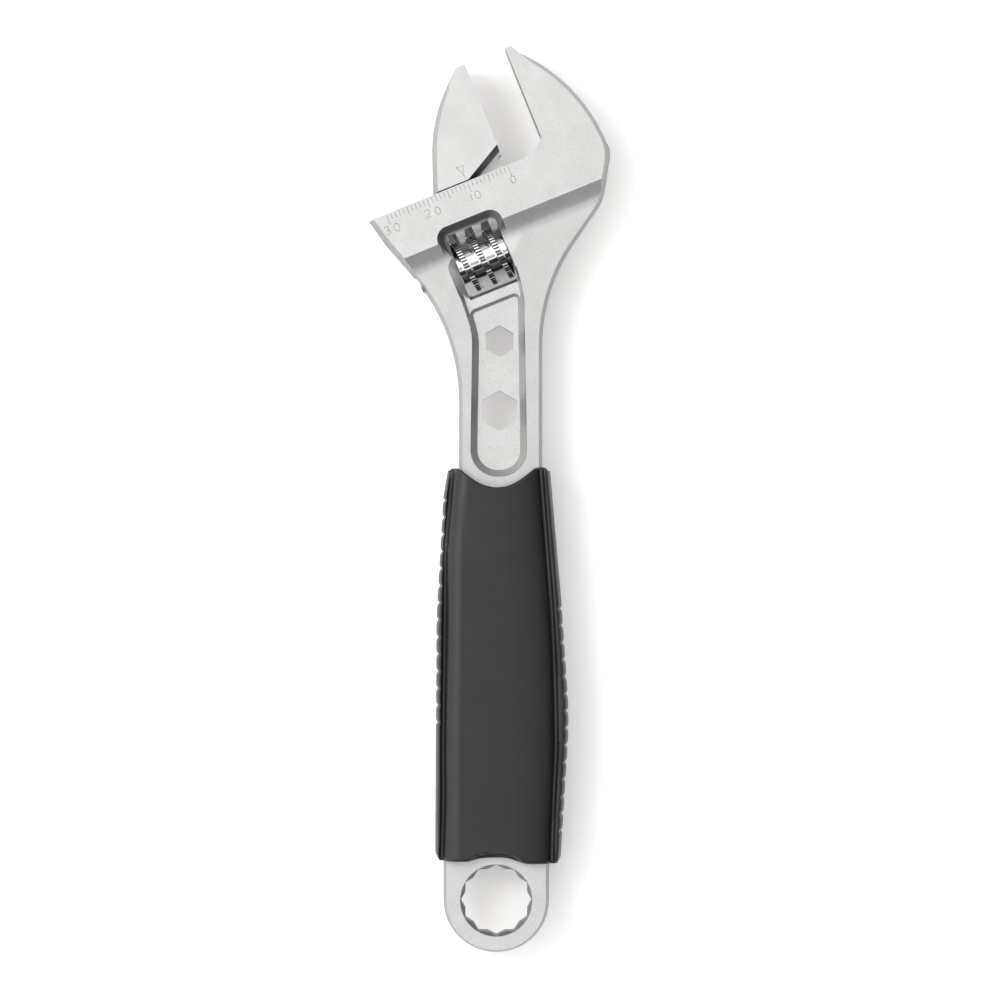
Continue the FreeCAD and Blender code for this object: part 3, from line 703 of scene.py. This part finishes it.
def stroke_mesh(name, strokes):
    """Edges along strokes of (u, v) points on the head."""
    verts, edges = [], []
    for stroke in strokes:
        start = len(verts)
        verts += [(u * MM, v * MM, 0) for u, v in stroke]
        edges += [(start + k, start + k + 1) for k in range(len(stroke) - 1)]
    mesh = bpy.data.meshes.new(name)
    mesh.from_pydata(verts, edges, [])
    return mesh


def laid_on_head(piece, height):
    """Moves a flat piece's mesh from (u, v) onto the head, its middle at that height."""
    flat = Matrix.Translation((0, 0, (height - MIDDLE) * MM))
    place = HEAD.copy()
    place.translation *= MM
    piece.data.transform(place @ flat)
    return piece


class MakeScale(bpy.types.Operator):
    """Etches the opening scale and its digits on the head"""
    bl_idname = "wrench.make_scale"
    bl_label = "Scale"

    def execute(self, context):
        row = new_piece("scale_lines", bpy.data.meshes.new("scale_lines"), "etched_mark")
        grown(row, tick_tree(), {
            "Count": 31, "Spacing": 1.0 * MM, "Width": sizes().tick_width, "Depth": MARK_DEPTH * MM,
            **TICK_LENGTHS, "Material": finish("etched_mark")})
        row.data.transform(Matrix.Translation((FIRST_TICK * MM, TICK_TOP * MM, 0)))
        keep(laid_on_head(row, HEAD_TOP), "wrench", "satin_chrome")

        strokes = []
        for digit, u, v, tall in DIGIT_PLACES:
            grow = tall / DIGIT_BOX
            strokes += [[(u + x * grow, v + y * grow) for x, y in stroke]
                        for stroke in DIGITS[digit]]
        digits = new_piece("scale_digits", stroke_mesh("scale_digits", strokes), "etched_mark")
        grown(digits, stroke_tree(), {"Width": sizes().digit_width, "Depth": MARK_DEPTH * MM,
                                      "Material": finish("etched_mark")})
        keep(laid_on_head(digits, HEAD_TOP), "wrench", "satin_chrome")
        return {"FINISHED"}


class MakePointer(bpy.types.Operator):
    """Etches the pointer on the movable jaw"""
    bl_idname = "wrench.make_pointer"
    bl_label = "Pointer"

    def execute(self, context):
        triangle = [(-20.75, 3.85), (-18.85, 3.65), (-19.8, 1.95), (-20.75, 3.85)]
        stem = [(-19.8, 1.95), (-19.6, 0.6)]
        pointer = new_piece("jaw_pointer", stroke_mesh("jaw_pointer", [triangle, stem]), "etched_mark")
        grown(pointer, stroke_tree(), {"Width": sizes().digit_width, "Depth": MARK_DEPTH * MM,
                                       "Material": finish("etched_mark")})
        keep(laid_on_head(pointer, JAW_TOP), "jaw", "satin_chrome")
        return {"FINISHED"}


# ------------------------------------------------------------------------------ worm, pin, spring
CREST = 5.95             # thread radius under the knurl
CREST_TOP = 6.34         # radius over the knurl's teeth
TOOTH_HEIGHT = 0.45      # sunk a little into the crest
THREAD_LEAD = 4.0
THREAD_START = -35.95    # where the thread's middle crosses the head's plane, on the side of the jaws
WORM_ENDS = (-28.85, -16.85)
CREST_WIDTH = 1.15


class MakeWorm(bpy.types.Operator):
    """Makes the worm with its knurled thread"""
    bl_idname = "wrench.make_worm"
    bl_label = "Worm"

    def execute(self, context):
        mesh, edit = welded("worm")
        to_head = HEAD.inverted()
        for vert in edit.verts:
            u, v, z = to_head @ vert.co
            radius = math.hypot(v - WORM_V, z)
            if radius > CREST:
                shrink = CREST / radius
                vert.co = HEAD @ Vector((u, WORM_V + (v - WORM_V) * shrink, z * shrink))
        bmesh.ops.triangulate(edit, faces=[face for face in edit.faces if len(face.verts) > 4])
        bmesh.ops.scale(edit, vec=(MM, MM, MM), verts=edit.verts)
        edit.to_mesh(mesh)
        edit.free()
        thread = new_piece("worm_thread", mesh, "bright_chrome")
        smooth_by_angle(mesh, 40)
        keep(thread, "worm", "bright_chrome", "worm")

        per_turn = sizes().teeth_per_turn
        half = CREST_WIDTH / 2 + 0.05
        first = math.ceil((WORM_ENDS[0] + half - THREAD_START) / THREAD_LEAD * per_turn)
        last = math.floor((WORM_ENDS[1] - half - THREAD_START) / THREAD_LEAD * per_turn)
        knurl = new_piece("worm_knurl", bpy.data.meshes.new("worm_knurl"), "bright_chrome")
        grown(knurl, knurl_tree(), {
            "Count": last - first + 1, "Per Turn": float(per_turn), "Lead": THREAD_LEAD * MM,
            "Start": (THREAD_START + first * THREAD_LEAD / per_turn) * MM,
            "First Angle": 2 * math.pi * first / per_turn,
            "Radius": (CREST_TOP - TOOTH_HEIGHT / 2) * MM, "Tooth": sizes().tooth_size,
            "Height": TOOTH_HEIGHT * MM,
            "Length": (CREST_WIDTH + 0.06) * MM, "Material": finish("bright_chrome")})
        knurl.data.transform(Matrix.Translation((0, WORM_V * MM, 0)))
        keep(laid_on_head(knurl, MIDDLE), "worm", "bright_chrome")
        return {"FINISHED"}


class FinishPinAndSpring(bpy.types.Operator):
    """Gives the worm's pin and spring their turned steel"""
    bl_idname = "wrench.finish_pin"
    bl_label = "Pin and spring"

    def execute(self, context):
        for node, steel in (("worm_pin", "pin_steel"), ("worm_spring", "spring_steel")):
            for slot in frame["nodes"][node].material_slots:
                slot.material = finish(steel)
        return {"FINISHED"}


# ------------------------------------------------------------------------------ rubber grip
GRIP = rounded([
    (-9.16, 7.6, 1.0), (-6.46, 7.6, 0), (10.32, 7.6, 0), (13.72, 7.6, 1.4), (16.52, -24.6, 60),
    (18.35, -51.2, 100), (16.3, -83.2, 1.2), (-12.53, -83.2, 1.4), (-12.25, -28.7, 100), (-10.66, -1, 20)],
    math.radians(2))
MOUTH = [(-9.3, 6.9), (-8.6, 7.3), (-7.06, 7.25), (-5.9, 6.5), (-4.5, 5.4), (-2.2, 3.95), (0.1, 3.2),
         (1.9, 3.05), (4.2, 3.4), (6.5, 4.5), (8.6, 6.0), (10.0, 7.15), (11.0, 7.55), (12.7, 7.5),
         (13.7, 6.8)]
TAIL = [(-12.6, -81.6), (-11.4, -82.5), (-4.6, -82.65), (-2.2, -82.05), (1.5, -81.85), (4.2, -82.0),
        (6.4, -82.7), (8.0, -83.15), (15.4, -83.15), (16.4, -82.4)]
ARCH = [(-7.0, -84.0), (-4.8, -82.7), (-2.8, -81.4), (0.0, -80.75), (1.6, -80.65), (3.8, -80.8), (6.2, -81.8),
        (8.2, -83.4), (9.5, -84.6)]
CREASES = {-1: [(-83.0, -10.9), (-69.0, -10.6), (-57.4, -10.65), (-45.9, -10.5), (-34.4, -10.3),
                (-22.9, -10.2), (-11.4, -10.05), (0.1, -9.2), (7.6, -8.5)],
           1: [(-83.0, 14.2), (-69.0, 14.6), (-57.4, 15.1), (-45.9, 15.0), (-34.4, 14.6), (-22.9, 14.0),
               (-11.4, 13.1), (0.1, 12.2), (7.6, 11.7)]}
FIRST_NOTCH = {-1: 0.1, 1: -24.75}
NOTCHES = 14
STRIP, FLOOR, SHOULDER = 6.25, 5.4, 8.04            # heights above mid-thickness: strip, crease, face
CAVITY = 4.85                                       # half the height of the handle's room inside
ROLLS = {-1: 3.6, 1: 9.0}                           # width over which the face rises from each crease
LEVEL_CREASE = 0.35                                 # flat floor of a crease
ARCH_SPAN = (-5.0, 8.4)                             # the arch over the ring end, from and to X
EDGE = 0.55                                         # width of the strip's rounded outer edge
CREASE_SPAN = 4.4                                   # closely meshed width beside a crease
WALL_ROUND = ((0.0, 0.0), (0.0, 1.0), (0.02, 2.0), (0.08, 3.0), (0.2, 4.0), (0.4, 4.9))


def notch(side, y):
    """How deep the side's edge is notched at Y, from 0 on a rib's back to 1 between two ribs."""
    count = (FIRST_NOTCH[side] - y) / (sizes().rib_pitch / MM)
    last = NOTCHES - 1
    if count < -0.5 or count > last + 0.5:
        return 0.0
    away = abs(count - round(count))
    if count < 0 or count > last:
        return max(0.0, 1 - away / 0.13) ** 1.5
    return (abs(0.5 - away) * 2) ** 5


def grip_height(x, y, left, right):
    """Height of the grip's upper surface above mid-thickness at (x, y)."""
    centre = (left + right) / 2
    half = (right - left) / 2
    side = -1 if x < centre else 1
    crease = through(CREASES[side], y)
    inside = (crease - x) * side                     # distance from the crease towards the middle
    across = min(1.0, abs(x - centre) / half)
    face = SHOULDER + sizes().crown / MM * (1 - across ** 2)
    if inside > 0:
        climb = max(0.0, inside - LEVEL_CREASE) / ROLLS[side]
        rise = math.sqrt(1 - max(0.0, 1 - climb) ** 2)
        height = FLOOR + (face - FLOOR) * rise
    else:
        height = FLOOR + (STRIP - FLOOR) * soft_step((-inside - 0.25) / 0.6)
    lip = through(ARCH, x) - y
    if ARCH_SPAN[0] < x < ARCH_SPAN[1]:
        low = STRIP + 0.1
        height = min(height, low + (height - low) * (1 - soft_step((lip + 0.15) / 0.45)))
    return height


def grip_section(t):
    """One row of points round the outside of the grip, from t = 0 at its mouth to 1 at its tail."""
    span_y = 5 - 88 * t
    left = crossing(GRIP, min(5.5, span_y), -1)
    right = crossing(GRIP, min(5.5, span_y), 1)
    xs = []
    for side, edge in ((-1, left), (1, right)):
        crease = through(CREASES[side], span_y)
        near = [edge - side * EDGE + (crease - edge + side * EDGE) * k / 8 for k in range(9)]
        roll = [crease - side * CREASE_SPAN * (k / 12) ** 1.3 for k in range(1, 13)]
        xs.append(near + roll)
    a, b = xs[0][-1], xs[1][-1]
    xs = xs[0] + [a + (b - a) * k / 22 for k in range(1, 22)] + xs[1][::-1]

    def row_y(x):
        return through(MOUTH, x) * (1 - t) + through(TAIL, x) * t

    depth = sizes().rib_depth / MM
    points = []
    for side, edge, steps in ((-1, left, WALL_ROUND), (1, right, WALL_ROUND[::-1])):
        wall = []
        for inset, height in steps:
            x = edge - side * inset
            y = row_y(x)
            wall.append((x - side * depth * notch(side, y), y, height))
        points += wall
        if side < 0:
            for x in xs:
                y = row_y(x)
                near = min((x - left), (right - x))
                rim = -1 if x - left < right - x else 1
                fade = max(0.0, 1 - near / 1.5)
                height = grip_height(x, y, left, right)
                height -= 0.75 * max(0.0, 1 - (near - 0.5) / 0.7) ** 2
                points.append((x - rim * depth * notch(rim, y) * fade, y, height))
    end = min(t, 1 - t) * 90
    squeeze = 0.45 * max(0.0, 1 - end / 0.55) ** 2
    return [(x, y, height - squeeze * (height > 5)) for x, y, height in points]


def both_sides(top):
    """A row's points closed round the underside, which mirrors the upper side."""
    return top + [(x, y, -height) for x, y, height in top[-2:0:-1]]


class MakeGrip(bpy.types.Operator):
    """Makes the moulded rubber grip with its crowned faces, creases and side ribs"""
    bl_idname = "wrench.make_grip"
    bl_label = "Rubber grip"

    def execute(self, context):
        ends = [0.0, 0.0018, 0.004, 0.0065]
        body = [0.0065 + 0.987 * k / 300 for k in range(1, 300)]
        rows = ends + body + [1 - t for t in ends[::-1]]
        loops = []
        for t in rows:
            loops.append(both_sides(grip_section(t)))
        for t in (1.0, 0.98, 0.8, 0.6, 0.4, 0.2, 0.02, 0.0):
            inner = []
            for x, y, height in both_sides(grip_section(t)):
                sides = [crossing(FORGING, min(y, 5.0), side) + side * 0.05 for side in (-1, 1)]
                inner.append((min(max(x, sides[0]), sides[1]), y, min(max(height, -CAVITY), CAVITY)))
            loops.append(inner)
        verts = [(x * MM, y * MM, (MIDDLE + height) * MM) for loop in loops for x, y, height in loop]
        around = len(loops[0])
        faces = []
        for i in range(len(loops)):
            for j in range(around):
                k = (j + 1) % around
                ahead = (i + 1) % len(loops)
                faces.append((i * around + j, ahead * around + j, ahead * around + k, i * around + k))
        mesh = bpy.data.meshes.new("grip_skin")
        mesh.from_pydata(verts, [], faces)
        edit = bmesh.new()
        edit.from_mesh(mesh)
        bmesh.ops.remove_doubles(edit, verts=edit.verts, dist=1e-7)
        bmesh.ops.recalc_face_normals(edit, faces=edit.faces)
        edit.to_mesh(mesh)
        edit.free()
        piece = new_piece("grip_skin", mesh, "grip_rubber")
        smooth_by_angle(mesh, 50)
        keep(piece, "wrench", "grip_rubber", "grip_sleeve")
        return {"FINISHED"}


# ------------------------------------------------------------------------------ stage
VIEW_CENTRE = (2.383, 0.115)
VIEW_HEIGHT = 230.26
LENS = 200.0
SENSOR = 36.0
FLOOR_HALF = 3.0                                    # metres
ROOM_LIGHT = 0.34                                   # light from the horizon, with its rise towards the
ROOM_RISE = (-0.76, 0.14, 1.08)                     # zenith and its change across and along the wrench
ROOM_LEAST = 0.07
FLAG_WAY = Vector((0.12, -0.56, 0.82)).normalized()  # a dark flag hangs here and shows in the polished parts


class SetStage(bpy.types.Operator):
    """Sets the pale floor, the soft lights and the camera straight above the wrench"""
    bl_idname = "wrench.set_stage"
    bl_label = "Stage"

    def light(self, name, place, size, power, tint):
        lamp = bpy.data.lights.new(name, "AREA")
        lamp.shape = "DISK"
        lamp.size = size
        lamp.energy = power
        lamp.color = tint
        thing = bpy.data.objects.new(name, lamp)
        thing.location = place
        thing.rotation_euler = (-Vector(place)).to_track_quat("-Z", "Y").to_euler()
        bpy.context.scene.collection.objects.link(thing)

    def execute(self, context):
        mesh = bpy.data.meshes.new("studio_floor")
        corners = [(x * FLOOR_HALF, y * FLOOR_HALF, 0) for x, y in ((-1, -1), (1, -1), (1, 1), (-1, 1))]
        mesh.from_pydata(corners, [], [(0, 1, 2, 3)])
        floor = new_piece("studio_floor", mesh, "floor_paper")

        scene = context.scene
        scene.world = bpy.data.worlds.new("studio")
        scene.world.use_nodes = True
        room = Tree(scene.world.node_tree)
        sky = scene.world.node_tree.nodes["Background"]
        sky.inputs["Color"].default_value = (1.0, 1.0, 1.0, 1.0)
        way = room.add("ShaderNodeTexCoord").out("Generated")
        parts = room.split(way)
        strength = (parts.out("Z").math("MAXIMUM", 0.0) * ROOM_RISE[2] + parts.out("X") * ROOM_RISE[0]
                    + parts.out("Y") * ROOM_RISE[1] + ROOM_LIGHT)
        strength = strength.math("MAXIMUM", ROOM_LEAST)
        strength = strength * (1.0 - parts.out("Z").smooth(0.972, 0.995) * 0.6)
        flag = room.dot(way, FLAG_WAY)
        strength = strength * (1.0 - flag.smooth(0.94, 0.975) * 0.94)
        room.tree.links.new(strength.socket, sky.inputs["Strength"])
        self.light("key_softbox", (-0.62, 0.32, 1.0), 0.42, 3.0, (1.0, 0.995, 0.985))

        camera = bpy.data.cameras.new("camera")
        camera.lens = LENS
        camera.sensor_width = SENSOR
        thing = bpy.data.objects.new("camera", camera)
        reach = VIEW_HEIGHT * LENS / SENSOR
        thing.location = (VIEW_CENTRE[0] * MM, VIEW_CENTRE[1] * MM, (MIDDLE + reach) * MM)
        camera.clip_end = 20.0
        scene.collection.objects.link(thing)
        scene.camera = thing
        scene.view_settings.view_transform = "Standard"
        return {"FINISHED"}


STEPS = (MakeWrenchBody, MakeMovableJaw, MakeScale, MakePointer, MakeWorm, FinishPinAndSpring,
         MakeGrip, SetStage)


class WrenchPanel(bpy.types.Panel):
    """Lists the wrench's sizes, colours and pieces"""
    bl_idname = "VIEW3D_PT_wrench"
    bl_label = "Adjustable Wrench"
    bl_space_type = "VIEW_3D"
    bl_region_type = "UI"
    bl_category = "Wrench"

    def draw(self, context):
        for group in (context.scene.wrench_sizes, context.scene.wrench_colours):
            for name in group.__annotations__:
                self.layout.prop(group, name)
        for step in STEPS:
            self.layout.operator(step.bl_idname)


CLASSES = (WrenchSizes, WrenchColours, *STEPS, WrenchPanel)


def register():
    for kind in CLASSES:
        bpy.utils.register_class(kind)
    bpy.types.Scene.wrench_sizes = bpy.props.PointerProperty(type=WrenchSizes)
    bpy.types.Scene.wrench_colours = bpy.props.PointerProperty(type=WrenchColours)


def unregister():
    del bpy.types.Scene.wrench_colours
    del bpy.types.Scene.wrench_sizes
    for kind in reversed(CLASSES):
        bpy.utils.unregister_class(kind)


def main():
    register()
    for step in STEPS:
        area, name = step.bl_idname.split(".")
        getattr(getattr(bpy.ops, area), name)()


if __name__ == "__main__":
    main()
